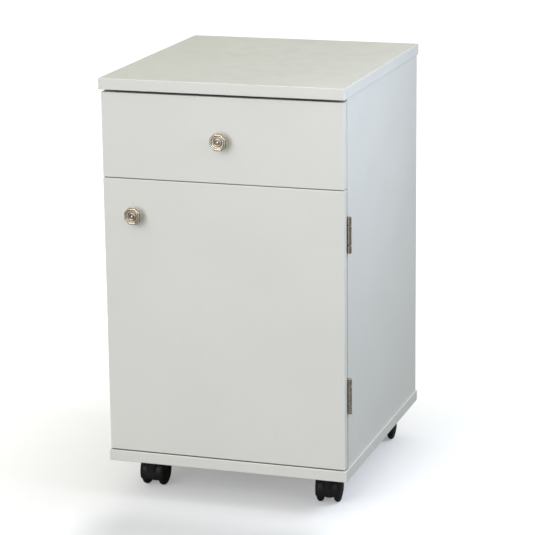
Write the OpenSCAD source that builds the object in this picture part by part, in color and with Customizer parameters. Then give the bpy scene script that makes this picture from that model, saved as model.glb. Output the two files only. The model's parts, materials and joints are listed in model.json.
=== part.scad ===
// Rolling pedestal cabinet: one drawer on roller slides over a hinged door, on four
// swivelling twin-wheel casters.
// Frame: origin on the floor under the middle of the cabinet, +X right, +Y to the back, +Z up.

/* [Boards] */
// Width of the top and base boards
board_w = 394; // [370:1:480]
// Depth of the top board, front edge to back edge
top_d = 441; // [430:1:520]
// Height from the underside of the base board to the top surface
cabinet_h = 619; // [590:1:760]
// Thickness of the top and base boards
board_t = 18; // [16:1:25]
// Thickness of the sides, divider and shelf
side_t = 15; // [15:1:18]
// How far the top and base stand out past each side
overhang = 2.5; // [1:0.5:6]
// Radius of the softened edges of the top and base
board_arris = 1.2; // [0.5:0.1:4]
// How far the base's front edge sits behind the top's
base_setback = 2.6; // [0:0.1:3]
// How far the sides' front edges sit behind the top's front edge
side_setback = 20.4; // [20:0.1:24]
// How far the top and base stand out behind the sides
back_overhang = 1.9; // [0:0.1:6]
// Thickness of the back panel
back_t = 3; // [3:0.5:6]
// How far the back panel sits in from the sides' back edges
back_inset = 10; // [6:1:14]

/* [Fronts] */
// Thickness of the door and the drawer front
front_t = 15; // [12:1:16]
// Radius of the edges of the door and the drawer front
front_arris = 1; // [0.5:0.5:2]
// Height of the drawer front
drawer_front_h = 133.6; // [125:0.1:160]
// Gap between the drawer front and the top
top_gap = 4; // [2:0.5:6]
// Gap between the drawer front and the door
middle_gap = 1; // [0.8:0.1:4]
// Gap between the door and the base
bottom_gap = 1.7; // [1.5:0.1:4]
// Gap between the back of the door and the sides, which holds the hinge leaves
door_gap = 2; // [2:0.1:2.4]
// Gap between the back of the drawer front and the sides
drawer_gap = 1; // [0.5:0.1:1.5]

/* [Drawer and slides] */
// Thickness of the drawer box's sides, front and back
box_t = 12; // [12:1:15]
// Height of the drawer box
box_h = 95; // [90:1:98]
// Length of the drawer box and of its slide runners
box_d = 350; // [300:5:355]
// Thickness of the drawer bottom
drawer_bottom_t = 3; // [3:0.5:6]
// Diameter of the slide rollers
roller_d = 19; // [17:0.5:19]

/* [Hinges] */
// Length of each hinge
hinge_len = 57; // [50:1:70]
// Length of the hinge's middle knuckle
hinge_mid_knuckle = 30.5; // [26:0.5:32]
// Diameter of the hinge barrel
barrel_d = 6.6; // [6:0.1:6.8]
// Diameter of the hinge pin
hinge_pin_d = 3; // [2.5:0.1:3.4]
// Upper hinge's centre below the top of the door
hinge_from_top = 70.9; // [50:0.1:90]
// Lower hinge's centre above the bottom of the door
hinge_from_bottom = 116.1; // [50:0.1:130]

/* [Knobs] */
// How far the knobs stand out from the fronts
knob_projection = 19; // [14:0.5:28]
// Width across the flats of the knob's eight-sided head
knob_head_w = 26.5; // [22:0.5:32]
// Thickness of the knob's head
knob_head_t = 8; // [6:0.5:9]
// Door knob's centre from the free edge of the door
door_knob_inset = 52.9; // [30:0.1:80]
// Door knob's centre below the top of the door
door_knob_drop = 55.5; // [30:0.5:80]

/* [Shelf] */
// Shelf's underside above the base board
shelf_level = 214; // [150:32:278]
// How far the shelf's front edge sits behind the sides' front edges
shelf_setback = 30; // [10:1:60]

/* [Casters] */
// Height of a caster, floor to plate
caster_h = 63; // [62:0.5:66]
// Diameter of the caster wheels
wheel_d = 50; // [48:1:50]
// How far the wheels trail behind the swivel
caster_trail = 20; // [16:1:21]
// Swivel's distance in from the side edges of the base
caster_inset_x = 48.5; // [40:0.5:70]
// Front swivels' distance behind the front edge of the base
caster_inset_front = 61.5; // [50:0.5:90]
// Rear swivels' distance in front of the back edge of the base
caster_inset_back = 53.5; // [50:0.5:90]
// Resting turn of the casters: front left, front right, rear left, rear right
caster_turn = [2, 9, -7, 6]; // [-180:1:180]

/* [Hidden] */
$fn = 48;
fit_gap = 0.05; // radial play of pins, axles and fasteners in their holes
play = 0.5;     // side play of boards that slide into grooves

// Boards, in x, y and z
half_w = board_w / 2;
side_out = half_w - overhang;
side_in = side_out - side_t;
door_face = side_setback - door_gap - front_t;
top_front = (knob_projection - door_face - top_d) / 2;
top_back = top_front + top_d;
base_front = top_front + base_setback;
side_front = top_front + side_setback;
side_back = top_back - back_overhang;
base_top = caster_h + board_t;
side_top = caster_h + cabinet_h - board_t;
groove_depth = 5;
back_front = side_back - back_inset - back_t;

// Fronts
door_back = side_front - door_gap;
drawer_back = side_front - drawer_gap;
drawer_front_top = side_top - top_gap;
drawer_front_low = drawer_front_top - drawer_front_h;
door_top = drawer_front_low - middle_gap;
door_low = base_top + bottom_gap;
divider_top = drawer_front_low - (middle_gap - side_t) / 2;
divider_low = divider_top - side_t;

// Slides: a rail on the cabinet side and a runner on the drawer side, each an open channel
slide_space = 12.5;
steel_t = 1.2;
lane_w = 6;
roller_w = 4.5;
channel_h = roller_d + 0.6 + 2 * steel_t;
rail_low = divider_top + 10;
rail_extra = 20;
rail_len = box_d + rail_extra;
roller_z = rail_low + steel_t + roller_d / 2 + fit_gap;
runner_top = roller_z + roller_d / 2 + fit_gap + steel_t;
runner_low = runner_top - channel_h;
stud_d = 5;
stud_from_end = 15;
drawer_travel = box_d - 90;
stop_t = 3;
ledge_w = 12;

// Drawer box
box_out = side_in - slide_space;
box_in = box_out - box_t;
box_low = runner_low;
box_back = drawer_back + box_d;
bottom_groove_z = 10;
bottom_groove_d = 6;

// Hinges
leaf_t = door_gap - 0.2;
hinge_x = side_out + barrel_d / 2;
hinge_y = side_front - door_gap / 2;
upper_hinge_z = door_top - hinge_from_top;
lower_hinge_z = door_low + hinge_from_bottom;
tongue_w = 13.5;
leaf_w = 26;
knuckle_gap = 0.5;

// Catch under the divider
catch_x = -120;
catch_w = 45;
catch_block_w = 29;
catch_depth = 13;
catch_h = 14;
catch_ear_t = 3;
magnet_w = 22;
magnet_h = 7;
strike_t = 1.5;
strike_z = divider_low - catch_ear_t - catch_h / 2 + 1;

// Casters
wheel_r = wheel_d / 2;
plate_w = 38;
plate_t = 2;
plate_hole_pitch = 28;
tread_r = 5.3;
tread_x = 13.9;
wheel_play = 0.5;
hood_wall = 1.1;
hood_lip = 3;
web_w = 8;
web_r = 19;
axle_d = 6;
axle_len = 38;
kingpin_d = 6;

// Knock-down fittings and dowels
cam_d = 15;
cam_depth = 12.5;
cam_reach = 34;
bolt_hole_d = 8;
bolt_grip = 11;
dowel_d = 8;
dowel_half = 11;
fitting_ys = [side_front + 40, side_back - 60];
dowel_ys = [side_front + 72, side_back - 92];

// Shelf pins
pin_d = 5;
pin_hole_depth = 9;
pin_pitch = 32;
pin_rows = 7;
pin_first = 150;
pin_ys = [side_front + 62, side_back - 85];

// Screws: shank diameter, length under the head's seat, head diameter, head height
pan_screw = [3.5, 12, 7, 2];
runner_screw = [3.5, 9, 7, 1.6];
box_screw = [4, 25, 7.6, 2.2];
hinge_screw = [3, 12, 5.6, 1.3];
caster_screw = [4, 14, 7.5, 2.2];
knob_screw_d = 4;
knob_screw_grip = 9;

front_left = [-1, -1];
front_right = [1, -1];
rear_left = [-1, 1];
rear_right = [1, 1];

laminate = [0.84, 0.84, 0.81];
raw_board = [0.87, 0.86, 0.82];
nickel = [0.62, 0.58, 0.51];
zinc = [0.72, 0.73, 0.75];
nylon = [0.11, 0.11, 0.12];

// ---------------------------------------------------------------- shapes used more than once

// A rectangle with round corners, its lower left corner at the origin
module rounded_rect(w, h, r) {
    translate([r, 0]) square([w - 2 * r, h]);
    translate([0, r]) square([w, h - 2 * r]);
    for (x = [r, w - r], y = [r, h - r]) translate([x, y]) circle(r);
}

// A board from one corner, with all its edges rounded to the same radius
module soft_board(corner, size, r) {
    translate(corner) intersection() {
        linear_extrude(size.z) rounded_rect(size.x, size.y, r);
        translate([0, size.y, 0]) rotate([90, 0, 0])
            linear_extrude(size.y) rounded_rect(size.x, size.z, r);
        rotate([90, 0, 90]) linear_extrude(size.x) rounded_rect(size.y, size.z, r);
    }
}

// A cylinder along X, centred
module bar_x(d, h) {
    rotate([0, 90, 0]) cylinder(d = d, h = h, center = true);
}

// A screw: its head's seat is at z = 0 and it points down. A countersunk head lies below z = 0.
module screw(s, sunk = false) {
    difference() {
        union() {
            translate([0, 0, -s[1]]) cylinder(d = s[0], h = s[1]);
            if (sunk)
                translate([0, 0, -s[3]]) cylinder(d1 = s[0], d2 = s[2], h = s[3]);
            else
                cylinder(d = s[2], h = s[3]);
        }
        for (a = [0, 90])
            rotate(a)
                translate([0, 0, sunk ? 0 : s[3]])
                    cube([s[2] * 0.6, s[0] * 0.25, s[3] * 1.2], center = true);
    }
}

// The hole that a screw fills
module screw_hole(s, sunk = false) {
    translate([0, 0, -s[1] - play]) cylinder(d = s[0] + 2 * fit_gap, h = s[1] + play + s[3]);
    if (sunk)
        translate([0, 0, -s[3] - fit_gap])
            cylinder(d1 = s[0] + 2 * fit_gap, d2 = s[2] + 4 * fit_gap, h = s[3] + 2 * fit_gap);
}

// Draws its children mirrored on the left (s = -1) or as they are on the right (s = 1)
module on_side(s) {
    mirror([s < 0 ? 1 : 0, 0, 0]) children();
}

// ---------------------------------------------------------------- where fasteners go

// Joint lines of a side panel, or the divider, and the board it meets: +Z points into that
// board, and +X towards the face that the cam is dropped into
module at_joints(ys) {
    for (y = ys, s = [-1, 1]) on_side(s) {
        translate([side_in + side_t / 2, y, side_top]) mirror([1, 0, 0]) children();
        translate([side_in + side_t / 2, y, base_top]) rotate([0, 180, 0]) children();
        translate([side_in, y, divider_low + side_t / 2]) rotate([0, 90, 0]) children();
    }
}

module at_shelf_pins(levels) {
    for (y = pin_ys, z = levels, s = [-1, 1])
        on_side(s) translate([side_in, y, z]) rotate([0, 90, 0]) children();
}

module at_rail_screws() {
    for (s = [-1, 1], y = [32, 52, rail_len - 8])
        on_side(s) translate([side_in - steel_t, side_front + y, roller_z])
            rotate([0, -90, 0]) children();
}

module at_catch_screws() {
    for (x = [-1, 1] * (catch_w + catch_block_w) / 4)
        translate([catch_x + x, side_front + 1 + catch_depth / 2, divider_low - catch_ear_t])
            rotate([180, 0, 0]) children();
}

module at_runner_screws() {
    for (s = [-1, 1], y = [45, box_d / 2, box_d - 45])
        on_side(s) translate([box_out - box_t / 2, drawer_back + y, runner_low - steel_t])
            rotate([180, 0, 0]) children();
}

// Through the box front into the drawer front
module at_front_screws() {
    for (x = [-1, 1] * box_in * 0.7, z = [28, box_h - 25])
        translate([x, drawer_back + box_t, box_low + z]) rotate([-90, 0, 0]) children();
}

// Through the drawer sides into the ends of the box front and back
module at_corner_screws() {
    for (s = [-1, 1], y = [drawer_back + box_t / 2, box_back - box_t / 2])
        for (z = [36, box_h - 15])
            on_side(s) translate([box_out, y, box_low + z]) rotate([0, 90, 0]) children();
}

module at_hinges() {
    for (z = [upper_hinge_z, lower_hinge_z]) translate([hinge_x, hinge_y, z]) children();
}

module at_hinge_cabinet_screws() {
    at_hinges() for (z = [-8, 8])
        translate([-barrel_d / 2 - side_t / 2, -leaf_t + door_gap / 2, z])
            rotate([90, 0, 0]) children();
}

module at_hinge_door_screws() {
    at_hinges() for (p = [[-12, -21.5], [-12, 21.5], [-21.8, 0]])
        translate([p.x, leaf_t - door_gap / 2, p.y]) rotate([-90, 0, 0]) children();
}

module at_caster(c) {
    i = (c.x + 1) / 2 + (c.y + 1);
    y = c.y < 0 ? base_front + caster_inset_front : top_back - caster_inset_back;
    translate([c.x * (half_w - caster_inset_x), y, 0]) rotate(caster_turn[i]) children();
}

module at_caster_screws() {
    for (c = [front_left, front_right, rear_left, rear_right])
        at_caster(c) rotate(-caster_turn[(c.x + 1) / 2 + (c.y + 1)])
            for (x = [-1, 1] * plate_hole_pitch / 2, y = [-1, 1] * plate_hole_pitch / 2)
                translate([x, y, caster_h - plate_t]) rotate([180, 0, 0]) children();
}

module at_drawer_knob() {
    translate([0, drawer_back - front_t, drawer_front_top - drawer_front_h / 2])
        rotate([90, 0, 0]) children();
}

module at_door_knob() {
    translate([-side_out + door_knob_inset, door_back - front_t, door_top - door_knob_drop])
        rotate([90, 0, 0]) children();
}

// ---------------------------------------------------------------- holes in the boards

// A cam's pocket and the bolt's way to it, below the joint line; its bolt hole above the line
module cam_holes() {
    translate([side_t / 2 - cam_depth, 0, -cam_reach]) rotate([0, 90, 0])
        cylinder(d = cam_d, h = cam_depth + 1);
    translate([0, 0, -cam_reach]) cylinder(d = bolt_hole_d, h = cam_reach + fit_gap);
    cylinder(d = pin_d + 2 * fit_gap, h = bolt_grip + play);
}

module dowel_holes() {
    translate([0, 0, -dowel_half - play])
        cylinder(d = dowel_d + 2 * fit_gap, h = 2 * (dowel_half + play));
}

module joint_holes() {
    at_joints(fitting_ys) cam_holes();
    at_joints(dowel_ys) dowel_holes();
}

module back_groove() {
    translate([-side_in - groove_depth, back_front, base_top - groove_depth])
        cube([
            2 * (side_in + groove_depth),
            back_t + 0.2,
            side_top - base_top + 2 * groove_depth
        ]);
}

// ---------------------------------------------------------------- carcass

module top_panel() {
    color(laminate) difference() {
        soft_board([-half_w, top_front, side_top], [board_w, top_d, board_t], board_arris);
        joint_holes();
        back_groove();
    }
}

module base_panel() {
    color(laminate) difference() {
        soft_board(
            [-half_w, base_front, caster_h],
            [board_w, top_d - base_setback, board_t],
            board_arris
        );
        joint_holes();
        back_groove();
        at_caster_screws() screw_hole(caster_screw);
    }
}

module side_panel(s) {
    color(laminate) difference() {
        on_side(s) translate([side_in, side_front, base_top])
            cube([side_t, side_back - side_front, side_top - base_top]);
        joint_holes();
        back_groove();
        at_shelf_pins([
            for (i = [0:pin_rows - 1]) base_top + pin_first + i * pin_pitch - pin_d / 2
        ])
            translate([0, 0, -1]) cylinder(d = pin_d + 2 * fit_gap, h = pin_hole_depth + 1);
        at_rail_screws() screw_hole(pan_screw);
        at_hinge_cabinet_screws() screw_hole(hinge_screw);
    }
}

module back_panel() {
    w = 2 * (side_in + groove_depth - play);
    h = side_top - base_top + 2 * (groove_depth - play);
    color(raw_board)
        translate([-w / 2, back_front + 0.1, base_top - groove_depth + play])
            cube([w, back_t, h]);
}

module divider_panel() {
    color(laminate) difference() {
        translate([-side_in, side_front, divider_low])
            cube([2 * side_in, back_front - side_front, side_t]);
        joint_holes();
        at_catch_screws() screw_hole(pan_screw);
    }
}

module shelf() {
    color(laminate)
        translate([-side_in + 1, side_front + shelf_setback, base_top + shelf_level])
            cube([2 * side_in - 2, back_front - side_front - shelf_setback - 2, side_t]);
}

// Pins with a flange: one end sits in the side panel and the other carries the shelf
module shelf_pins() {
    color(zinc) at_shelf_pins([base_top + shelf_level - pin_d / 2]) {
        cylinder(d = pin_d, h = pin_hole_depth - play);
        translate([0, 0, -9]) cylinder(d = pin_d, h = 9);
        translate([0, 0, -0.6]) cylinder(d = pin_d + 4, h = 0.6);
    }
}

// Cams and their bolts
module cam_fittings() {
    color(zinc) at_joints(fitting_ys) {
        difference() {
            translate([side_t / 2 - cam_depth + fit_gap, 0, -cam_reach]) rotate([0, 90, 0])
                cylinder(d = cam_d - 4 * fit_gap, h = cam_depth - 2 * fit_gap);
            translate([0, 0, -cam_reach - 4]) cylinder(d = bolt_hole_d - 1, h = cam_d);
            translate([side_t / 2, 0, -cam_reach]) cube([2, 8, 1.4], center = true);
            translate([side_t / 2, 0, -cam_reach]) cube([2, 1.4, 8], center = true);
        }
        cylinder(d = pin_d, h = bolt_grip);
        translate([0, 0, 1 - cam_reach]) cylinder(d = 6, h = cam_reach - 1);
        translate([0, 0, -cam_reach - 2.5]) cylinder(d = 3.6, h = 4);
        translate([0, 0, -cam_reach - 3]) cylinder(d = 6, h = 2);
    }
}

module dowels() {
    color("burlywood") at_joints(dowel_ys)
        translate([0, 0, -dowel_half]) cylinder(d = dowel_d, h = 2 * dowel_half);
}

module cabinet_screws() {
    color(zinc) {
        at_rail_screws() screw(pan_screw);
        at_catch_screws() screw(pan_screw);
    }
}

// ---------------------------------------------------------------- slides

// A C-shaped rail: its web lies on the side panel and it opens towards the drawer.
// A stud near the front end carries the rail's roller, and a tab stops the runner's roller
// when the drawer is fully out.
module slide_rail(s) {
    color(zinc) on_side(s) difference() {
        union() {
            translate([side_in, side_front + 1, rail_low]) rotate([-90, 0, 0])
                linear_extrude(rail_len) rotate(180) {
                    square([steel_t, channel_h]);
                    square([lane_w, steel_t]);
                    translate([0, channel_h - steel_t]) square([lane_w, steel_t]);
                }
            translate([side_in - slide_space + steel_t + 0.3, rail_stud_y(), roller_z])
                rotate([0, 90, 0])
                    cylinder(d = stud_d, h = slide_space - steel_t - 0.3);
            translate([
                side_in - lane_w,
                runner_stud_y() - drawer_travel - roller_d / 2 - play - stop_t,
                rail_low
            ])
                cube([lane_w, stop_t, roller_d / 2 + 3]);
        }
        at_rail_screws() screw_hole(pan_screw);
    }
}

function rail_stud_y() = side_front + 1 + stud_from_end;
function runner_stud_y() = drawer_back + box_d - stud_from_end;

// A roller, centred, with its axle hole along X
module roller() {
    difference() {
        bar_x(roller_d, roller_w);
        bar_x(stud_d + 2 * fit_gap, roller_w + 1);
    }
}

module rail_roller(s) {
    color("white") on_side(s)
        translate([side_in - slide_space + steel_t + 0.4 + roller_w / 2, rail_stud_y(), roller_z])
            roller();
}

// The drawer's runner: a channel open towards the rail, with a ledge under the drawer side.
// A stud near the back end carries the runner's roller.
module slide_runner(s) {
    color(zinc) on_side(s) difference() {
        union() {
            translate([box_out, drawer_back, runner_low]) rotate([-90, 0, 0])
                linear_extrude(box_d) mirror([0, 1]) {
                    square([steel_t, channel_h]);
                    square([lane_w, steel_t]);
                    translate([0, channel_h - steel_t]) square([lane_w, steel_t]);
                    translate([-ledge_w, -steel_t]) square([ledge_w + steel_t, steel_t]);
                }
            translate([box_out, runner_stud_y(), roller_z]) rotate([0, 90, 0])
                cylinder(d = stud_d, h = slide_space - steel_t - 0.3);
        }
        at_runner_screws() screw_hole(runner_screw);
    }
}

module runner_roller(s) {
    color("white") on_side(s)
        translate([side_in - steel_t - 0.4 - roller_w / 2, runner_stud_y(), roller_z]) roller();
}

// ---------------------------------------------------------------- drawer

module knob_screw_hole(depth) {
    translate([0, 0, -depth - 1]) cylinder(d = knob_screw_d + 2 * fit_gap, h = depth + 2);
}

module drawer_front() {
    color(laminate) difference() {
        soft_board(
            [-side_out, drawer_back - front_t, drawer_front_low],
            [2 * side_out, front_t, drawer_front_h],
            front_arris
        );
        at_front_screws() screw_hole(box_screw);
        at_drawer_knob() knob_screw_hole(front_t);
    }
}

// The groove that the drawer bottom slides into, in the box's four walls
module bottom_groove() {
    translate([
        -box_in - bottom_groove_d,
        drawer_back + box_t - bottom_groove_d,
        box_low + bottom_groove_z
    ])
        cube([
            2 * (box_in + bottom_groove_d),
            box_d - 2 * (box_t - bottom_groove_d),
            drawer_bottom_t + 0.2
        ]);
}

module drawer_wall(y) {
    difference() {
        translate([-box_in, y, box_low]) cube([2 * box_in, box_t, box_h]);
        bottom_groove();
        at_corner_screws() screw_hole(box_screw);
        at_front_screws() screw_hole(box_screw, sunk = true);
        at_drawer_knob() knob_screw_hole(front_t + box_t);
    }
}

module drawer_box_front() {
    color(raw_board) drawer_wall(drawer_back);
}

module drawer_back_panel() {
    color(raw_board) drawer_wall(box_back - box_t);
}

module drawer_side(s) {
    color(raw_board) difference() {
        on_side(s) translate([box_in, drawer_back, box_low]) cube([box_t, box_d, box_h]);
        bottom_groove();
        at_corner_screws() screw_hole(box_screw, sunk = true);
        at_runner_screws() screw_hole(runner_screw);
    }
}

module drawer_bottom() {
    w = 2 * (box_in + bottom_groove_d - play);
    d = box_d - 2 * (box_t - bottom_groove_d) - 2 * play;
    color(raw_board)
        translate([
            -w / 2,
            drawer_back + box_t - bottom_groove_d + play,
            box_low + bottom_groove_z + 0.1
        ])
            cube([w, d, drawer_bottom_t]);
}

module drawer_screws() {
    color(zinc) {
        at_front_screws() screw(box_screw, sunk = true);
        at_corner_screws() screw(box_screw, sunk = true);
    }
}

module runner_screws() {
    color(zinc) at_runner_screws() screw(runner_screw);
}

// ---------------------------------------------------------------- knobs

// An eight-sided prism or taper by widths across its flats
module octagon(w1, w2, h) {
    rotate(22.5) cylinder(d1 = w1 / cos(22.5), d2 = w2 / cos(22.5), h = h, $fn = 8);
}

// The knob's head, its back on z = 0: an eight-sided prism cut by a taper at its back and
// another round its rim
module knob_head() {
    t = knob_head_t + 1;
    back_w = knob_head_w - 5;
    rim_w = knob_head_w - 3;
    intersection() {
        translate([0, 0, -1]) octagon(knob_head_w, knob_head_w, t + 1);
        octagon(back_w, back_w + 2.5 * t, t);
        translate([0, 0, -1]) octagon(rim_w + 2 * t, rim_w, t);
    }
}

// Knob along +Z, its foot on z = 0: a round neck and an eight-sided head with a bevelled rim,
// an eight-sided step, and a ring and a boss in a round recess
module knob() {
    face = knob_projection - 1.5;
    back = face - knob_head_t;
    difference() {
        union() {
            cylinder(d = 14, h = 1.2);
            cylinder(d = 11.5, h = back + 1);
            translate([0, 0, back]) knob_head();
        }
        translate([0, 0, face - 0.75]) octagon(knob_head_w - 6, knob_head_w - 6, 2);
        translate([0, 0, face - 1.25]) cylinder(d = 15, h = 3);
        translate([0, 0, -1])
            cylinder(d = knob_screw_d + 2 * fit_gap, h = knob_screw_grip + 1 + play);
    }
    translate([0, 0, face - 2]) difference() {
        cylinder(d = 12, h = 2.75);
        translate([0, 0, 1]) cylinder(d = 8.6, h = 3);
    }
    translate([0, 0, face - 2]) cylinder(d = 4, h = 3.5);
}

// Machine screw from inside: its head's seat is `reach` below the knob's foot
module knob_screw(reach) {
    difference() {
        union() {
            translate([0, 0, -reach]) cylinder(d = knob_screw_d, h = reach + knob_screw_grip);
            translate([0, 0, -reach - 2.4]) cylinder(d = 9, h = 2.4);
        }
        for (a = [0, 90])
            rotate(a) translate([0, 0, -reach - 2.4]) cube([5, 1, 2.4], center = true);
    }
}

module drawer_knob() {
    color(nickel) at_drawer_knob() knob();
}

module door_knob() {
    color(nickel) at_door_knob() knob();
}

module drawer_knob_screw() {
    color(zinc) at_drawer_knob() knob_screw(front_t + box_t);
}

module door_knob_screw() {
    color(zinc) at_door_knob() knob_screw(front_t);
}

// ---------------------------------------------------------------- door, hinges and catch

module door_panel() {
    color(laminate) difference() {
        soft_board(
            [-side_out, door_back - front_t, door_low],
            [2 * side_out, front_t, door_top - door_low],
            front_arris
        );
        at_door_knob() knob_screw_hole(front_t);
        at_hinge_door_screws() screw_hole(hinge_screw);
        translate([catch_x, door_back - 8 - play, strike_z]) rotate([-90, 0, 0])
            cylinder(d = 4 + 2 * fit_gap, h = 10);
    }
}

// A length of the hinge's barrel, centred, with bevelled ends
module knuckle(h) {
    bevel = 0.6;
    cylinder(d = barrel_d, h = h - 2 * bevel, center = true);
    for (s = [0, 1])
        mirror([0, 0, s]) translate([0, 0, h / 2 - bevel])
            cylinder(d1 = barrel_d, d2 = barrel_d - 2 * bevel, h = bevel);
}

// The leaf that lies on the cabinet's edge: a tongue and the long middle knuckle
module hinge_cabinet_leaf(z) {
    tongue_h = hinge_mid_knuckle - 1;
    color(nickel) difference() {
        translate([hinge_x, hinge_y, z]) difference() {
            union() {
                knuckle(hinge_mid_knuckle);
                translate([
                    -barrel_d / 2 - tongue_w,
                    door_gap / 2 - leaf_t,
                    -tongue_h / 2
                ])
                    cube([tongue_w + barrel_d / 2 - 1, leaf_t, tongue_h]);
            }
            cylinder(d = hinge_pin_d + 2 * fit_gap, h = hinge_len, center = true);
        }
        at_hinge_cabinet_screws() screw_hole(hinge_screw, sunk = true);
    }
}

// The leaf that lies on the door: it wraps around the tongue and carries the two end knuckles
module hinge_door_leaf(z) {
    end_knuckle = (hinge_len - hinge_mid_knuckle) / 2 - knuckle_gap;
    color(nickel) difference() {
        translate([hinge_x, hinge_y, z]) difference() {
            union() {
                for (s = [-1, 1])
                    translate([0, 0, s * (hinge_len - end_knuckle) / 2])
                        knuckle(end_knuckle);
                translate([-leaf_w, -door_gap / 2, -hinge_len / 2])
                    cube([leaf_w - 1, leaf_t, hinge_len]);
            }
            translate([
                -barrel_d / 2 - tongue_w - 1,
                -barrel_d,
                -hinge_mid_knuckle / 2 - knuckle_gap
            ])
                cube([
                    tongue_w + barrel_d + 2,
                    2 * barrel_d,
                    hinge_mid_knuckle + 2 * knuckle_gap
                ]);
            cylinder(d = hinge_pin_d + 2 * fit_gap, h = hinge_len + 1, center = true);
        }
        at_hinge_door_screws() screw_hole(hinge_screw, sunk = true);
    }
}

module hinge_pins() {
    color(nickel) at_hinges() cylinder(d = hinge_pin_d, h = hinge_len - 0.4, center = true);
}

module hinge_cabinet_screws() {
    color(nickel) at_hinge_cabinet_screws() screw(hinge_screw, sunk = true);
}

module hinge_door_screws() {
    color(nickel) at_hinge_door_screws() screw(hinge_screw, sunk = true);
}

// The magnetic catch: a block with two ears, screwed up under the divider
module catch_body() {
    color("ivory") difference() {
        union() {
            translate([catch_x - catch_block_w / 2, side_front + 1, divider_low - catch_h])
                cube([catch_block_w, catch_depth, catch_h]);
            translate([catch_x - catch_w / 2, side_front + 1, divider_low - catch_ear_t])
                cube([catch_w, catch_depth, catch_ear_t]);
        }
        catch_pocket(0.05);
        at_catch_screws() screw_hole(pan_screw);
    }
}

// The magnet's space in the catch, grown by g
module catch_pocket(g) {
    translate([
        catch_x - magnet_w / 2 - g,
        side_front - 0.3,
        strike_z - magnet_h / 2 - g
    ])
        cube([magnet_w + 2 * g, catch_depth - 2 + g, magnet_h + 2 * g]);
}

module catch_magnet() {
    color("dimgray") catch_pocket(0);
}

// The steel plate on the door that the magnet holds, with a spigot pressed into the door
module catch_strike() {
    color(zinc) {
        translate([catch_x - magnet_w / 2, door_back, strike_z - 6]) cube([magnet_w, strike_t, 12]);
        translate([catch_x, door_back - 8, strike_z]) rotate([-90, 0, 0]) cylinder(d = 4, h = 8.5);
    }
}

// ---------------------------------------------------------------- casters

// Four plates, each with its raceway and kingpin, screwed under the base
module caster_plates() {
    color(zinc) difference() {
        for (c = [front_left, front_right, rear_left, rear_right])
            at_caster(c) rotate(-caster_turn[(c.x + 1) / 2 + (c.y + 1)]) {
                translate([-plate_w / 2, -plate_w / 2, caster_h - plate_t])
                    linear_extrude(plate_t - fit_gap) rounded_rect(plate_w, plate_w, 4);
                translate([0, 0, caster_h - plate_t - 3]) cylinder(d = 20, h = 3);
                translate([0, 0, 36]) cylinder(d = kingpin_d, h = caster_h - 38);
            }
        at_caster_screws() screw_hole(caster_screw);
    }
}

module caster_screws() {
    color(zinc) at_caster_screws() screw(caster_screw);
}

// Turns a profile (x is the radius, y the distance from the middle) round a caster's axle;
// the half on the +y side goes to the left (s = -1) or the right (s = 1)
module round_axle(s) {
    translate([0, caster_trail, wheel_r]) rotate([0, s * 90, 0]) rotate_extrude($fn = 96)
        children();
}

// Outline of a tread, grown by g
module tread(g) {
    translate([wheel_r - tread_r, tread_x]) circle(tread_r + g);
}

// The swivelling hood: a thin fender that follows both treads, a web between the wheels, and
// a socket and collar for the kingpin. It swivels on Z and the wheels trail towards +Y.
module caster_hood() {
    hood_grow = wheel_play + hood_wall;
    collar_z = wheel_r + web_r;
    color(nylon) difference() {
        union() {
            intersection() {
                union() {
                    for (s = [-1, 1]) round_axle(s) {
                        square([wheel_r + hood_grow, tread_x]);
                        tread(hood_grow);
                    }
                }
                translate([0, caster_trail, wheel_r - 2]) rotate([18, 0, 0])
                    translate([-50, -50, 0]) cube([100, 100, 50]);
            }
            translate([0, caster_trail, wheel_r]) bar_x(2 * web_r, web_w);
            translate([0, 0, wheel_r + 3]) cylinder(d = 19, h = web_r);
            translate([0, 0, collar_z]) cylinder(d = 23, h = caster_h - plate_t - 3.3 - collar_z);
        }
        for (s = [-1, 1]) round_axle(s) {
            translate([0, web_w / 2]) square([wheel_r - hood_lip, 40]);
            translate([0, web_w / 2]) square([wheel_r + wheel_play, tread_x - web_w / 2]);
            tread(wheel_play);
        }
        translate([0, 0, 35]) cylinder(d = kingpin_d + 2 * fit_gap, h = 50);
        translate([0, caster_trail, wheel_r]) bar_x(axle_d + 2 * fit_gap, web_w + 1);
    }
}

module caster_axle() {
    color(zinc) translate([0, caster_trail, wheel_r]) bar_x(axle_d, axle_len);
}

// One wheel: a round tread, a domed outer face and a blind hub
module caster_wheel(s) {
    dome_r = 64;
    dome_top = 22.4;
    dome_t = 2.6;
    hub_gap = 0.6;
    color(nylon) round_axle(s) {
        tread(0);
        intersection() {
            difference() {
                translate([0, dome_top - dome_r]) circle(dome_r, $fn = 200);
                translate([0, dome_top - dome_r]) circle(dome_r - dome_t, $fn = 200);
            }
            square([wheel_r - tread_r, 30]);
        }
        translate([axle_d / 2 + fit_gap, web_w / 2 + hub_gap])
            square([3, dome_top - dome_t / 2 - web_w / 2 - hub_gap]);
    }
}

// ---------------------------------------------------------------- the nodes

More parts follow.
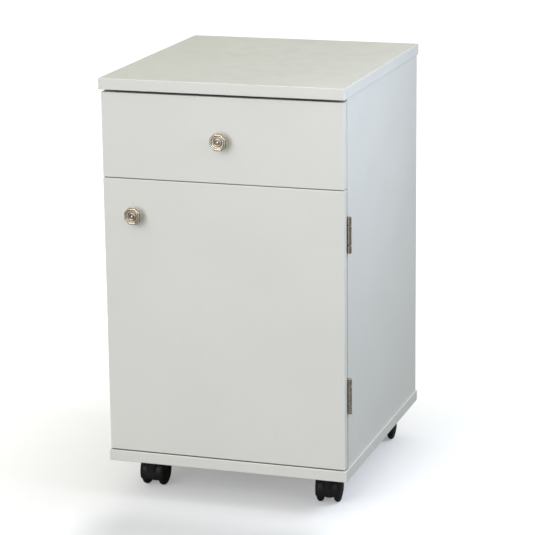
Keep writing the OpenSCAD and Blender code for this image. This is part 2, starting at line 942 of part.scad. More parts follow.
top_panel();
base_panel();
side_panel(-1);  // side_panel_left
side_panel(1);  // side_panel_right
back_panel();
divider_panel();
shelf();
shelf_pins();
cam_fittings();
dowels();
slide_rail(-1);  // slide_rail_left
slide_rail(1);  // slide_rail_right
rail_roller(-1);  // rail_roller_left
rail_roller(1);  // rail_roller_right
cabinet_screws();
drawer_front();
drawer_box_front();
drawer_side(-1);  // drawer_side_left
drawer_side(1);  // drawer_side_right
drawer_back_panel();
drawer_bottom();
drawer_screws();
slide_runner(-1);  // slide_runner_left
slide_runner(1);  // slide_runner_right
runner_roller(-1);  // runner_roller_left
runner_roller(1);  // runner_roller_right
runner_screws();
drawer_knob();
drawer_knob_screw();
door_panel();
door_knob();
door_knob_screw();
hinge_cabinet_leaf(upper_hinge_z);  // upper_hinge_cabinet_leaf
hinge_door_leaf(upper_hinge_z);  // upper_hinge_door_leaf
hinge_cabinet_leaf(lower_hinge_z);  // lower_hinge_cabinet_leaf
hinge_door_leaf(lower_hinge_z);  // lower_hinge_door_leaf
hinge_pins();
hinge_cabinet_screws();
hinge_door_screws();
catch_body();
catch_magnet();
catch_strike();
caster_plates();
caster_screws();
at_caster(front_left) caster_hood();  // front_left_caster_hood
at_caster(front_left) caster_axle();  // front_left_caster_axle
at_caster(front_left) caster_wheel(1);  // front_left_wheel_inner
at_caster(front_left) caster_wheel(-1);  // front_left_wheel_outer
at_caster(front_right) caster_hood();  // front_right_caster_hood
at_caster(front_right) caster_axle();  // front_right_caster_axle
at_caster(front_right) caster_wheel(-1);  // front_right_wheel_inner
at_caster(front_right) caster_wheel(1);  // front_right_wheel_outer
at_caster(rear_left) caster_hood();  // rear_left_caster_hood
at_caster(rear_left) caster_axle();  // rear_left_caster_axle
at_caster(rear_left) caster_wheel(1);  // rear_left_wheel_inner
at_caster(rear_left) caster_wheel(-1);  // rear_left_wheel_outer
at_caster(rear_right) caster_hood();  // rear_right_caster_hood
at_caster(rear_right) caster_axle();  // rear_right_caster_axle
at_caster(rear_right) caster_wheel(-1);  // rear_right_wheel_inner
at_caster(rear_right) caster_wheel(1);  // rear_right_wheel_outer
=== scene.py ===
"""Rolling pedestal cabinet: the looks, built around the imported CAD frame.

Metres, except where millimetres are named.
"""
import json
import math

import bmesh
import bpy
from mathutils import Matrix, Vector


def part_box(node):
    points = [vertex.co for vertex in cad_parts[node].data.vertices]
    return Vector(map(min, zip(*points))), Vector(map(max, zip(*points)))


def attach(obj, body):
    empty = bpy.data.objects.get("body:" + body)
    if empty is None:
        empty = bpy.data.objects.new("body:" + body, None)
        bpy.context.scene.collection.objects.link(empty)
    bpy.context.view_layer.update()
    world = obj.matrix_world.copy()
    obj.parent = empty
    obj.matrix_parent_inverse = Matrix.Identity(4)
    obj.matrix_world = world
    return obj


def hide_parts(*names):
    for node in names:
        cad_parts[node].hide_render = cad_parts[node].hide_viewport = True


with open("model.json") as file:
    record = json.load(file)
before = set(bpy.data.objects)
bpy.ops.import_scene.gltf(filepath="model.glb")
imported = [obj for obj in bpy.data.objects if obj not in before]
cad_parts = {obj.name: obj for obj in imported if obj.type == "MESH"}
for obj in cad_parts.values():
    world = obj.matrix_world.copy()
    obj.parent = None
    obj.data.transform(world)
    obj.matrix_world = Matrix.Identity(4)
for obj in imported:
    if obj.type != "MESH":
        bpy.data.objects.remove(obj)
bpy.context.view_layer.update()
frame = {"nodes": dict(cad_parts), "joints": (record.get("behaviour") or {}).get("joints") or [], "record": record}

NODES = frame["nodes"]
MM = 0.001
SHADING_SAMPLES = 6  # rays for each look at nearby edges or crevices
NOISE_LOW, NOISE_HIGH = 0.3, 0.7  # where most of a noise texture's values lie


def rgb(r, g, b):
    return (r, g, b, 1.0)


# ------------------------------------------------------------------ node graphs for materials

class Graph:
    """A material's node tree, with short calls for the nodes used here."""

    def __init__(self, name):
        self.material = bpy.data.materials.new(name)
        self.material.use_nodes = True
        self.tree = self.material.node_tree
        self.tree.nodes.clear()
        self.shader = self.add("ShaderNodeBsdfPrincipled")
        self.output = self.add("ShaderNodeOutputMaterial")
        self.tree.links.new(self.shader.outputs["BSDF"], self.output.inputs["Surface"])
        self.place = self.add("ShaderNodeTexCoord").outputs["Object"]

    def add(self, kind):
        return self.tree.nodes.new(kind)

    def feed(self, socket, value):
        """Puts a link or a plain value into an input."""
        if isinstance(value, bpy.types.NodeSocket):
            self.tree.links.new(value, socket)
        else:
            socket.default_value = value

    def set(self, **inputs):
        for name, value in inputs.items():
            self.feed(self.shader.inputs[name.replace("_", " ")], value)

    def stretched(self, x, y, z):
        """Object coordinates scaled along each axis, for grain that runs one way."""
        node = self.add("ShaderNodeMapping")
        node.inputs["Scale"].default_value = (x, y, z)
        self.feed(node.inputs["Vector"], self.place)
        return node.outputs["Vector"]

    def noise(self, scale, detail=3.0, roughness=0.5, vector=None):
        node = self.add("ShaderNodeTexNoise")
        self.feed(node.inputs["Vector"], vector or self.place)
        node.inputs["Scale"].default_value = scale
        node.inputs["Detail"].default_value = detail
        node.inputs["Roughness"].default_value = roughness
        return node.outputs["Fac"]

    def cells(self, scale):
        node = self.add("ShaderNodeTexVoronoi")
        self.feed(node.inputs["Vector"], self.place)
        node.inputs["Scale"].default_value = scale
        return node.outputs["Distance"]

    def span(self, value, low, high, out_low=0.0, out_high=1.0):
        """Maps low..high to out_low..out_high, smoothly and clamped."""
        node = self.add("ShaderNodeMapRange")
        node.interpolation_type = "SMOOTHSTEP"
        self.feed(node.inputs["Value"], value)
        node.inputs["From Min"].default_value = low
        node.inputs["From Max"].default_value = high
        node.inputs["To Min"].default_value = out_low
        node.inputs["To Max"].default_value = out_high
        return node.outputs["Result"]

    def spread(self, value, out_low=0.0, out_high=1.0):
        """Maps the usual values of a noise texture to out_low..out_high."""
        return self.span(value, NOISE_LOW, NOISE_HIGH, out_low, out_high)

    def math(self, operation, a, b=0.0):
        node = self.add("ShaderNodeMath")
        node.operation = operation
        self.feed(node.inputs[0], a)
        self.feed(node.inputs[1], b)
        return node.outputs[0]

    def mix(self, factor, a, b):
        """A colour between a and b."""
        node = self.add("ShaderNodeMix")
        node.data_type = "RGBA"
        self.feed(node.inputs["Factor"], factor)
        self.feed(node.inputs["A"], a)
        self.feed(node.inputs["B"], b)
        return node.outputs["Result"]

    def rounded_normal(self, radius):
        """The surface normal, with edges rounded by `radius`."""
        node = self.add("ShaderNodeBevel")
        node.samples = SHADING_SAMPLES
        node.inputs["Radius"].default_value = radius
        return node.outputs["Normal"]

    def edges(self, radius):
        """1 on sharp edges, falling to 0 at `radius` from them."""
        flat_cosine, edge_cosine = 0.999, 0.86
        facing = self.add("ShaderNodeVectorMath")
        facing.operation = "DOT_PRODUCT"
        self.feed(facing.inputs[0], self.rounded_normal(radius))
        self.feed(facing.inputs[1], self.add("ShaderNodeNewGeometry").outputs["Normal"])
        return self.span(facing.outputs["Value"], flat_cosine, edge_cosine)

    def crevices(self, distance):
        """1 deep in a gap, 0 in the open."""
        open_share, closed_share = 0.75, 0.25
        node = self.add("ShaderNodeAmbientOcclusion")
        node.samples = SHADING_SAMPLES
        node.inputs["Distance"].default_value = distance
        return self.span(node.outputs["AO"], open_share, closed_share)

    def tint(self, base, amount, mask, colour):
        """`base` with `colour` laid over it where the mask is 1, by `amount`."""
        return self.mix(self.math("MULTIPLY", mask, amount), base, colour)

    def bump(self, height, distance, strength, rounding=None):
        """A bumped normal, on edges rounded in shading by `rounding`."""
        node = self.add("ShaderNodeBump")
        node.inputs["Distance"].default_value = distance
        node.inputs["Strength"].default_value = strength
        self.feed(node.inputs["Height"], height)
        if rounding:
            self.feed(node.inputs["Normal"], self.rounded_normal(rounding))
        self.feed(self.shader.inputs["Normal"], node.outputs["Normal"])


# ------------------------------------------------------------------ materials

def laminate(name, cool, warm):
    """Melamine-faced board: a satin off-white with a faint pearl grain, edges lightened in patches as wear and
    painted highlight, and painted shade in its gaps.
    """
    fibre_tone, wear_and_highlight_tone = rgb(0.62, 0.62, 0.60), rgb(0.86, 0.86, 0.84)
    painted_gap_shade_tone = rgb(0.16, 0.155, 0.14)
    g = Graph(name)
    fibre = g.noise(260.0, 4.0, 0.6, g.stretched(1.0, 1.0, 0.35))
    base = g.mix(g.span(g.noise(6.0, 2.0), 0.35, 0.65), cool, warm)
    base = g.mix(g.spread(fibre, 0.0, 0.05), base, fibre_tone)
    # Patches along the sharp edges are lightened: partly wear, partly a painted highlight where the arrises catch
    # light.
    wear_and_highlight = g.math("MULTIPLY", g.edges(0.9 * MM), g.span(g.noise(45.0, 4.0), 0.42, 0.7))
    base = g.tint(base, 0.35, wear_and_highlight, wear_and_highlight_tone)
    # Painted shade: the board is darkened in its gaps and crevices, where shade falls.
    base = g.tint(base, 0.6, g.crevices(6 * MM), painted_gap_shade_tone)
    g.set(Base_Color=base, IOR=1.5, Coat_Weight=0.12, Coat_Roughness=0.25)
    g.set(Roughness=g.spread(g.noise(38.0, 3.0), 0.36, 0.46))
    pearl = g.math("ADD", g.noise(900.0, 3.0), g.math("MULTIPLY", fibre, 0.6))
    g.bump(pearl, 0.03 * MM, 0.5, rounding=0.5 * MM)
    return g.material


def white_foil(name):
    """Paper foil on the drawer box: duller than the laminate, with a fine cross grain."""
    dull, bright, bare_board = rgb(0.78, 0.77, 0.73), rgb(0.84, 0.83, 0.80), rgb(0.62, 0.55, 0.44)
    g = Graph(name)
    grain = g.noise(160.0, 5.0, 0.6, g.stretched(1.0, 0.12, 1.0))
    base = g.mix(g.spread(grain), dull, bright)
    base = g.tint(base, 0.4, g.edges(0.8 * MM), bare_board)
    g.set(Base_Color=base, Roughness=g.spread(grain, 0.5, 0.62))
    g.bump(grain, 0.04 * MM, 0.6, rounding=0.4 * MM)
    return g.material


def hardboard(name):
    """Painted hardboard: a faint mesh texture under white paint."""
    dull, bright = rgb(0.70, 0.69, 0.66), rgb(0.80, 0.79, 0.76)
    g = Graph(name)
    fibre = g.noise(420.0, 6.0, 0.7)
    mesh = g.cells(700.0)
    base = g.mix(g.span(fibre, 0.3, 0.75), dull, bright)
    g.set(Base_Color=base, Roughness=g.spread(fibre, 0.55, 0.7))
    g.bump(g.math("ADD", fibre, g.math("MULTIPLY", mesh, 0.5)), 0.08 * MM, 0.6)
    return g.material


def satin_nickel(name, dull, bright, patch_scale=120.0, rough=0.28):
    """Warm grey plated metal with fine brushing, with painted shade in its recesses and a painted highlight on its
    edges.
    """
    painted_recess_shade_tone, edge_highlight_tone = rgb(0.10, 0.075, 0.05), rgb(0.86, 0.80, 0.72)
    g = Graph(name)
    brush = g.noise(1900.0, 2.0, 0.6, g.stretched(1.0, 1.0, 0.08))
    base = g.mix(g.span(g.noise(patch_scale, 3.0), 0.35, 0.65), dull, bright)
    # Painted shade: the metal is darkened in its recesses, where shade falls.
    base = g.tint(base, 0.8, g.crevices(2 * MM), painted_recess_shade_tone)
    # Painted highlight: sharp edges are lightened as if catching light.
    base = g.tint(base, 0.55, g.edges(0.35 * MM), edge_highlight_tone)
    g.set(Base_Color=base, Metallic=1.0)
    g.set(Roughness=g.span(brush, 0.25, 0.75, rough - 0.08, rough + 0.08))
    g.bump(brush, 0.01 * MM, 0.5, rounding=0.25 * MM)
    return g.material


def zinc_plate(name):
    """Bright zinc: pale bluish steel with a faint yellow passivation, rolled streaks and painted shade in its
    recesses.
    """
    blue_steel, passivated = rgb(0.60, 0.62, 0.66), rgb(0.76, 0.75, 0.70)
    painted_recess_shade_tone = rgb(0.16, 0.15, 0.14)
    g = Graph(name)
    streak = g.noise(700.0, 3.0, 0.6, g.stretched(1.0, 0.06, 1.0))
    base = g.mix(g.span(g.cells(330.0), 0.1, 0.8), blue_steel, passivated)
    # Painted shade: the zinc is darkened in its recesses, where shade falls.
    base = g.tint(base, 0.6, g.crevices(2 * MM), painted_recess_shade_tone)
    g.set(Base_Color=base, Metallic=1.0, Roughness=g.spread(streak, 0.24, 0.4))
    g.bump(streak, 0.012 * MM, 0.5, rounding=0.2 * MM)
    return g.material


def moulded(name, dark, light, rough, grain, dust):
    """Moulded plastic with a spark-eroded texture and a painted highlight on its edges; `dust` greys its recesses.
    """
    edge_highlight_tone, dust_tone = rgb(0.05, 0.05, 0.052), rgb(0.035, 0.034, 0.032)
    g = Graph(name)
    texture = g.noise(grain, 3.0, 0.65)
    base = g.mix(g.spread(g.noise(40.0, 2.0)), dark, light)
    # Painted highlight: sharp edges are lightened as if catching light.
    base = g.tint(base, 0.25, g.edges(0.5 * MM), edge_highlight_tone)
    base = g.tint(base, dust, g.crevices(4 * MM), dust_tone)
    g.set(Base_Color=base, Roughness=g.spread(texture, rough - 0.06, rough + 0.08))
    g.set(Specular_IOR_Level=0.22)
    g.bump(texture, 0.04 * MM, 0.5, rounding=0.4 * MM)
    return g.material


def pale_plastic(name, first, second):
    """Light moulded plastic, slightly translucent in look, with soft sink marks."""
    g = Graph(name)
    g.set(Base_Color=g.mix(g.spread(g.noise(60.0, 3.0)), first, second))
    g.set(Roughness=g.spread(g.noise(500.0), 0.32, 0.48), Subsurface_Weight=0.1)
    g.set(Subsurface_Radius=(2.0 * MM, 1.8 * MM, 1.5 * MM))
    g.bump(g.noise(650.0, 3.0), 0.02 * MM, 0.5, rounding=0.3 * MM)
    return g.material


def ferrite(name):
    """Sintered magnet: dull dark grey with small chips."""
    g = Graph(name)
    chips = g.cells(900.0)
    base = g.mix(g.span(chips, 0.05, 0.4), rgb(0.13, 0.13, 0.135), rgb(0.05, 0.05, 0.055))
    g.set(Base_Color=base, Metallic=0.4, Roughness=g.span(chips, 0.0, 0.5, 0.5, 0.7))
    g.bump(chips, 0.08 * MM, 0.6, rounding=0.3 * MM)
    return g.material


def beech(name):
    """Turned beech: straight pale grain with darker flecks."""
    g = Graph(name)
    grain = g.noise(260.0, 5.0, 0.6, g.stretched(1.0, 1.0, 0.05))
    base = g.mix(g.spread(grain), rgb(0.50, 0.33, 0.19), rgb(0.68, 0.50, 0.32))
    g.set(Base_Color=base, Roughness=0.62)
    g.bump(grain, 0.06 * MM, 0.6)
    return g.material


def make_materials():
    """One material per record slot, and two more nickel tones, one a darker copy for painted shade."""
    return {
        "white_laminate": laminate(
            "laminate", rgb(0.745, 0.745, 0.715), rgb(0.765, 0.760, 0.730)
        ),
        "white_board": white_foil("box_foil"),
        "white_hardboard": hardboard("hardboard"),
        "satin_nickel": satin_nickel(
            "satin_nickel", rgb(0.62, 0.55, 0.45), rgb(0.78, 0.71, 0.60)
        ),
        "satin_nickel_painted_shade": satin_nickel(
            "nickel_painted_shade", rgb(0.24, 0.19, 0.14), rgb(0.34, 0.28, 0.21)
        ),
        "satin_nickel_hinge": satin_nickel(
            "hinge_nickel", rgb(0.26, 0.22, 0.17), rgb(0.66, 0.60, 0.52),
            patch_scale=800.0, rough=0.2,
        ),
        "zinc_steel": zinc_plate("zinc_plate"),
        "black_nylon": moulded(
            "black_nylon", rgb(0.011, 0.011, 0.0115), rgb(0.016, 0.016, 0.0165),
            rough=0.42, grain=1400.0, dust=0.3,
        ),
        "black_wheel": moulded(
            "black_wheel", rgb(0.012, 0.012, 0.0125), rgb(0.018, 0.018, 0.0185),
            rough=0.48, grain=1100.0, dust=0.4,
        ),
        "white_nylon": pale_plastic(
            "white_nylon", rgb(0.74, 0.74, 0.72), rgb(0.80, 0.80, 0.78)
        ),
        "ivory_plastic": pale_plastic(
            "ivory_plastic", rgb(0.72, 0.68, 0.58), rgb(0.78, 0.74, 0.65)
        ),
        "magnet": ferrite("ferrite"),
        "beech": beech("beech"),
    }


def dress_cad_nodes():
    """Gives each CAD node the material of its slot in the record; hinges use a blotchier nickel."""
    slots = {row["node"]: row["material_slot"] for row in frame["record"]["subparts"]}
    for name, node in NODES.items():
        slot = slots[name]
        if "hinge" in name and slot == "satin_nickel":
            slot = "satin_nickel_hinge"
        node.data.materials.clear()
        node.data.materials.append(materials[slot])


# ------------------------------------------------------------------ mesh building

def ring(bm, place, points):
    """Vertices of one closed outline; `place` puts its local points into the frame."""
    return [bm.verts.new(place @ Vector(p)) for p in points]


def skin(bm, rings, dark=()):
    """Faces between successive outlines of the same length; a single point closes to a fan.

    Bands whose number is in `dark` take the piece's second material.
    """
    for band, (first, second) in enumerate(zip(rings, rings[1:])):
        count = max(len(first), len(second))
        for i in range(count):
            j = (i + 1) % count
            corners = []
            for outline, index in ((first, i), (first, j), (second, j), (second, i)):
                vertex = outline[index % len(outline)]
                if vertex not in corners:
                    corners.append(vertex)
            bm.faces.new(corners).material_index = int(band in dark)


def lathe(bm, place, profile, steps, dark=()):
    """Turns (radius, height) points in millimetres round the local Z axis."""
    outlines = []
    for radius, height in profile:
        if radius == 0:
            outlines.append(ring(bm, place, [(0, 0, height * MM)]))
            continue
        outlines.append(ring(bm, place, [
            (
                radius * MM * math.cos(math.tau * i / steps),
                radius * MM * math.sin(math.tau * i / steps),
                height * MM,
            )
            for i in range(steps)
        ]))
    skin(bm, outlines, dark)


def octagon(width, height, rounding):
    """An eight-sided outline, in millimetres: its width across the flats and corner radius."""
    eighth = math.tau / 8
    corner_points = 4
    corner_reach = (width / 2 - rounding) / math.cos(eighth / 2)
    points = []
    for corner in range(8):
        middle = (corner + 0.5) * eighth
        for step in range(corner_points):
            angle = middle + (step / (corner_points - 1) - 0.5) * eighth
            points.append((
                (corner_reach * math.cos(middle) + rounding * math.cos(angle)) * MM,
                (corner_reach * math.sin(middle) + rounding * math.sin(angle)) * MM,
                height * MM,
            ))
    return points


def arc(centre, radius, start, end, steps):
    """Points (x, y) on an arc, from angle start to end in degrees."""
    return [
        (
            centre[0] + radius * math.cos(math.radians(start + (end - start) * i / steps)),
            centre[1] + radius * math.sin(math.radians(start + (end - start) * i / steps)),
        )
        for i in range(steps + 1)
    ]


def add_piece(name, bm, slot, body, replaced, sharp_angle, painted_shade_material=None):
    """Turns a bmesh into a piece that rides on a body and stands for a CAD node."""
    bmesh.ops.recalc_face_normals(bm, faces=bm.faces)
    mesh = bpy.data.meshes.new(name)
    bm.to_mesh(mesh)
    bm.free()
    mesh.shade_smooth()
    mesh.set_sharp_from_angle(angle=math.radians(sharp_angle))
    piece = bpy.data.objects.new(name, mesh)
    bpy.context.scene.collection.objects.link(piece)
    mesh.materials.append(materials[slot])
    if painted_shade_material:
        mesh.materials.append(materials[painted_shade_material])
    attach(piece, body)
    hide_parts(replaced)


# ------------------------------------------------------------------ knobs

# Head of the knob, back to front: share of its width, and height above the front. Heights, radii
# and widths are millimetres, here and below.
KNOB_HEAD = [
    (0.80, 9.5), (0.83, 9.6), (0.97, 11.2), (0.99, 11.5), (1.0, 11.8), (1.0, 15.8),
    (0.995, 16.05), (0.98, 16.25), (0.94, 16.85), (0.905, 17.3), (0.895, 17.42), (0.87, 17.5),
    (0.80, 17.5), (0.786, 17.42), (0.778, 17.2), (0.774, 16.9), (0.76, 16.77), (0.64, 16.75),
    (0.64, 16.2),
]
KNOB_CORNER_RADIUS = 0.7
# Foot and neck, then the round work in the head: radius and height
KNOB_NECK = [
    (0, 0.0), (6.8, 0.0), (7.0, 0.25), (7.0, 0.95), (6.8, 1.2), (6.2, 1.35), (5.9, 1.6),
    (5.75, 2.2), (5.75, 8.6), (5.95, 9.2), (6.5, 9.6), (6.5, 10.2), (0, 10.2),
]
KNOB_DISH = [
    (9.4, 16.5), (9.35, 16.72), (9.1, 16.78), (7.9, 16.78), (7.58, 16.7), (7.5, 16.5),
    (7.42, 16.3), (7.2, 16.25), (6.45, 16.25), (6.15, 16.4), (6.05, 17.2), (5.95, 17.85),
    (5.65, 18.15), (5.15, 18.25), (4.75, 18.12), (4.45, 17.75), (4.3, 16.85), (4.1, 16.55),
    (3.4, 16.45), (2.6, 16.5), (2.15, 16.8), (2.0, 17.8), (1.9, 18.45), (1.6, 18.8),
    (0.9, 18.96), (0, 19.0),
]
# Bands of those outlines that take the darker copy of the nickel, as painted shade: the rim's outer bevel
# and inner step, and the grooves on both sides of the ring
PAINTED_SHADE_HEAD = (*range(5, 8), *range(14, 17))
PAINTED_SHADE_DISH = (*range(3, 10), *range(15, 21))
# The width and reach that the outlines are drawn for; each knob is scaled to its CAD box
KNOB_WIDTH, KNOB_REACH = 26.5, 19.0
KNOB_STEPS, KNOB_SHARP_ANGLE = 64, 40.0


def make_knob(node, body):
    """An eight-sided knob on a round neck, with a stepped, dished face, a ring and a boss."""
    low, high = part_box(node)
    place = Matrix.Translation(((low.x + high.x) / 2, high.y, (low.z + high.z) / 2))
    place = place @ Matrix.Rotation(math.pi / 2, 4, "X")
    place = place @ Matrix.Diagonal((
        (high.x - low.x) / MM / KNOB_WIDTH,
        (high.z - low.z) / MM / KNOB_WIDTH,
        (high.y - low.y) / MM / KNOB_REACH,
        1.0,
    ))
    bm = bmesh.new()
    lathe(bm, place, KNOB_NECK, KNOB_STEPS)
    back = ring(bm, place, [(0, 0, KNOB_HEAD[0][1] * MM)])
    head = [
        ring(bm, place, octagon(KNOB_WIDTH * share, height, KNOB_CORNER_RADIUS))
        for share, height in KNOB_HEAD
    ]
    skin(bm, head, PAINTED_SHADE_HEAD)
    skin(bm, [back, head[0]])
    lathe(bm, place, KNOB_DISH, KNOB_STEPS, PAINTED_SHADE_DISH)
    # The listed bands take the darker nickel, painted shade on the rim's bevel, its step and the grooves.
    add_piece(
        f"{node}_shape", bm, "satin_nickel", body, node, KNOB_SHARP_ANGLE, "satin_nickel_painted_shade"
    )


# ------------------------------------------------------------------ casters

WHEEL_STEPS, WHEEL_SHARP_ANGLE = 96, 50.0
# The domed face: the radius of its sphere, and the height of its top
DOME_RADIUS, DOME_TOP = 64.0, 22.4
# The rounded tread: its radius, and the place of its middle
TREAD_RADIUS, TREAD_MIDDLE = 5.3, (19.7, 13.9)


def dome(radius, sink=0.0):
    """A point of the domed face, or `sink` under it."""
    return (radius, DOME_TOP - DOME_RADIUS + math.sqrt(DOME_RADIUS**2 - radius**2) - sink)


def wheel_profile():
    """Radius and distance from the caster's middle, in millimetres: hub, cup, tread and face."""
    cup_depth = 2.6
    hub = [
        (0, 19.6), (3.06, 19.6), (3.06, 5.0), (3.5, 4.6), (5.6, 4.6), (6.05, 5.0), (6.05, 19.2),
    ]
    cup = [dome(radius, cup_depth) for radius in (7.0, 11.0, 15.0)]
    tread = arc(TREAD_MIDDLE, TREAD_RADIUS, 160.0, 440.0, 40)
    outer_groove = [
        dome(17.6), dome(17.2, 0.3), dome(16.7, 0.42), dome(16.2, 0.3), dome(15.8),
    ]
    inner_groove = [
        dome(10.2), dome(9.8, 0.25), dome(9.4, 0.32), dome(9.0, 0.1), dome(8.6),
    ]
    face = [dome(19.0, 0.1), dome(18.4), *outer_groove, dome(13.0), *inner_groove]
    return hub + cup + tread + face + [dome(6.0), dome(3.0), (0, DOME_TOP)]


def make_wheel(joint):
    """A caster wheel on its spin joint: the dome faces away from the caster's middle.

    A wheel's body has the same name as its only node.
    """
    node = joint["child"]
    axle = Vector(joint["pos_m"])
    outward = Vector(joint["axis"]).normalized()
    low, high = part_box(node)
    if ((low + high) / 2 - axle).dot(outward) < 0:
        outward = -outward
    place = Matrix.Translation(axle) @ outward.to_track_quat("Z", "Y").to_matrix().to_4x4()
    bm = bmesh.new()
    lathe(bm, place, wheel_profile(), WHEEL_STEPS)
    add_piece(f"{node}_shape", bm, "black_wheel", node, node, WHEEL_SHARP_ANGLE)


# ------------------------------------------------------------------ stage, lights and camera

FLOOR_SIZE = 30.0
# The floor's tone as the camera sees it, and as other surfaces do
FLOOR_SEEN, FLOOR_BOUNCED = (0.757, 0.757, 0.788), (0.3, 0.3, 0.3)
# The share by which a faint speckle changes each tone, up and down
SEEN_SPECKLE, BOUNCED_SPECKLE = 0.01, 0.03
# The floor's glow near the cabinet and far from it, and the distances between which it rises
NEAR_GLOW, FAR_GLOW = 0.281, 0.6
GLOW_START, GLOW_END = 0.2, 0.9
# The soft shadow painted into the floor in front of the cabinet: its depth, where it is along Y, and how far
# it goes sideways before it fades and is gone
FRONT_SHADE = 0.5
SHADE_START, SHADE_FULL = -0.17, -0.34
SHADE_FADING, SHADE_GONE = -0.42, -0.65
SHADE_HALF_WIDTH, SHADE_SIDE = 0.12, 0.25


def speckled(g, speckle, tone, share):
    """The tone, a little darker or brighter with the speckle."""
    dark, bright = (rgb(*[c * (1 + change) for c in tone]) for change in (-share, share))
    return g.mix(speckle, dark, bright)


def make_floor():
    """A pale floor, white in the open, with a painted shadow in front of the cabinet; its glow is for the camera
    only and lights nothing.
    """
    bpy.ops.mesh.primitive_plane_add(size=FLOOR_SIZE, location=(0, 0, 0))
    floor = bpy.context.object
    floor.name = "floor"
    g = Graph("floor")
    place = g.add("ShaderNodeSeparateXYZ")
    g.feed(place.inputs["Vector"], g.place)
    along, beside = place.outputs["Y"], g.math("ABSOLUTE", place.outputs["X"])
    shade = g.math(
        "MULTIPLY",
        g.span(along, SHADE_START, SHADE_FULL),
        g.span(beside, SHADE_SIDE, SHADE_HALF_WIDTH),
    )
    shade = g.math("MULTIPLY", shade, g.span(along, SHADE_GONE, SHADE_FADING, 0.0, FRONT_SHADE))
    speckle = g.noise(3.0, 2.0)
    seen = speckled(g, speckle, FLOOR_SEEN, SEEN_SPECKLE)
    # Painted shadow: the camera's floor tone is darkened by the shade in front of the cabinet.
    seen = g.mix(shade, seen, rgb(0.0, 0.0, 0.0))
    bounced = speckled(g, speckle, FLOOR_BOUNCED, BOUNCED_SPECKLE)
    to_camera = g.add("ShaderNodeLightPath").outputs["Is Camera Ray"]
    matte = g.add("ShaderNodeBsdfDiffuse")
    g.feed(matte.inputs["Color"], g.mix(to_camera, bounced, seen))
    away = g.math("MAXIMUM", beside, g.math("ABSOLUTE", along))
    glow = g.add("ShaderNodeEmission")
    glow_there = g.span(away, GLOW_START, GLOW_END, NEAR_GLOW, FAR_GLOW)
    g.feed(glow.inputs["Strength"], g.math("MULTIPLY", to_camera, glow_there))
    both = g.add("ShaderNodeAddShader")
    g.feed(both.inputs[0], matte.outputs["BSDF"])
    g.feed(both.inputs[1], glow.outputs["Emission"])
    g.feed(g.output.inputs["Surface"], both.outputs["Shader"])
    floor.data.materials.append(g.material)


SKY_COLOUR = (1.05, 1.05, 0.91)


def make_sky():
    """A soft dome: brightest overhead and dark at the horizon, but plain white to the camera."""
    world = bpy.data.worlds.new("sky")
    world.use_nodes = True
    nodes, links = world.node_tree.nodes, world.node_tree.links
    direction = nodes.new("ShaderNodeSeparateXYZ")
    links.new(nodes.new("ShaderNodeTexCoord").outputs["Generated"], direction.inputs["Vector"])
    height = nodes.new("ShaderNodeClamp")
    links.new(direction.outputs["Z"], height.inputs["Value"])
    to_camera = nodes.new("ShaderNodeLightPath").outputs["Is Camera Ray"]
    strength = nodes.new("ShaderNodeMath")
    strength.operation = "MAXIMUM"
    links.new(height.outputs["Result"], strength.inputs[0])
    links.new(to_camera, strength.inputs[1])
    colour = nodes.new("ShaderNodeMix")
    colour.data_type = "RGBA"
    links.new(to_camera, colour.inputs["Factor"])
    colour.inputs["A"].default_value = rgb(*SKY_COLOUR)
    colour.inputs["B"].default_value = rgb(1.0, 1.0, 1.0)
    background = nodes["Background"]
    links.new(colour.outputs["Result"], background.inputs["Color"])
    links.new(strength.outputs["Value"], background.inputs["Strength"])
    bpy.context.scene.world = world


FRONT_TINT = (0.95, 0.96, 1.0)
SIDE_TINT = (0.74, 0.83, 1.0)
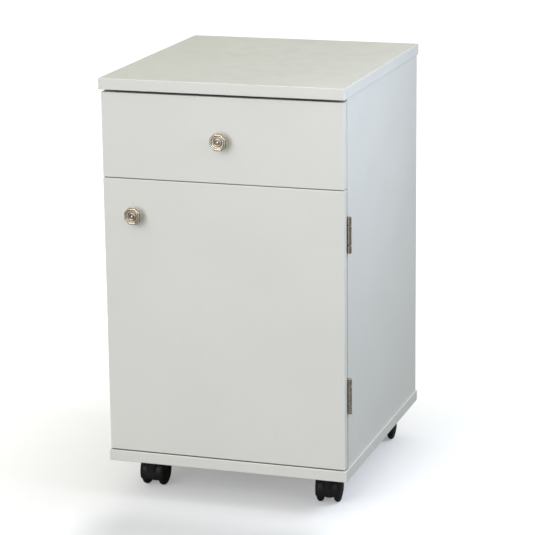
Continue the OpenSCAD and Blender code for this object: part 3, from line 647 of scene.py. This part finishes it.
# Name, place, aimed at, width and height of the panel, watts, tint
LIGHTS = [
    ("key", (-1.8, -2.4, 2.0), (0.0, 0.0, 0.4), (1.8, 1.8), 7.3, FRONT_TINT),
    ("front_left", (-0.9, -3.4, 1.7), (0.0, 0.0, 0.35), (1.8, 1.8), 48.0, FRONT_TINT),
    ("front_right", (1.0, -3.6, 1.8), (0.0, 0.0, 0.35), (2.0, 2.0), 3.5, FRONT_TINT),
    ("front_low", (-0.5, -3.5, 0.5), (0.0, 0.0, 0.3), (1.6, 0.8), 12.6, FRONT_TINT),
    ("side_far", (1.7, 0.3, 1.5), (0.2, 0.0, 0.5), (0.7, 0.7), 10.2, SIDE_TINT),
    ("side_top", (0.85, 0.0, 0.75), (0.2, 0.0, 0.62), (0.5, 0.2), 1.2, SIDE_TINT),
    ("side_front", (0.8, -0.35, 0.9), (0.2, -0.1, 0.58), (0.4, 0.4), 2.4, SIDE_TINT),
]


def make_light(name, place, aim, size, watts, tint):
    data = bpy.data.lights.new(name, "AREA")
    data.shape = "RECTANGLE"
    data.size, data.size_y = size
    data.energy = watts
    data.color = tint
    light = bpy.data.objects.new(name, data)
    bpy.context.scene.collection.objects.link(light)
    light.location = place
    light.rotation_euler = (Vector(aim) - Vector(place)).to_track_quat("-Z", "Y").to_euler()


# The camera's turn to the right, its height above the horizon and its roll, in degrees
TURN, TILT, ROLL = 18.142, 14.506, -0.710
LENS_MM, SENSOR_MM = 155.254, 36.0
# Its distance, and its aim to the right of and above the bottom of the fronts
DISTANCE, AIM_RIGHT, AIM_UP = 3.6327, 0.0655, 0.3216


def make_camera():
    """A long lens, a little to the right of the cabinet and above it."""
    turn, tilt, roll = (math.radians(angle) for angle in (TURN, TILT, ROLL))
    level = math.cos(tilt)
    back = Vector((math.sin(turn) * level, -math.cos(turn) * level, math.sin(tilt)))
    right = Vector((math.cos(turn), math.sin(turn), 0.0))
    up = back.cross(right)
    right, up = (
        right * math.cos(roll) + up * math.sin(roll),
        up * math.cos(roll) - right * math.sin(roll),
    )
    anchor = Vector((0.0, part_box("top_panel")[0].y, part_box("base_panel")[0].z))
    place = anchor + right * AIM_RIGHT + up * AIM_UP + back * DISTANCE
    data = bpy.data.cameras.new("camera")
    data.lens, data.sensor_width = LENS_MM, SENSOR_MM
    camera = bpy.data.objects.new("camera", data)
    bpy.context.scene.collection.objects.link(camera)
    axes = Matrix((right, up, back)).transposed().to_4x4()
    camera.matrix_world = Matrix.Translation(place) @ axes
    bpy.context.scene.camera = camera


materials = make_materials()
dress_cad_nodes()
make_knob("drawer_knob", "drawer")
make_knob("door_knob", "door")
for joint in frame["joints"]:
    if joint["name"].endswith("wheel_spin"):
        make_wheel(joint)
make_floor()
make_sky()
for light in LIGHTS:
    make_light(*light)
make_camera()
bpy.context.scene.view_settings.view_transform = "Standard"
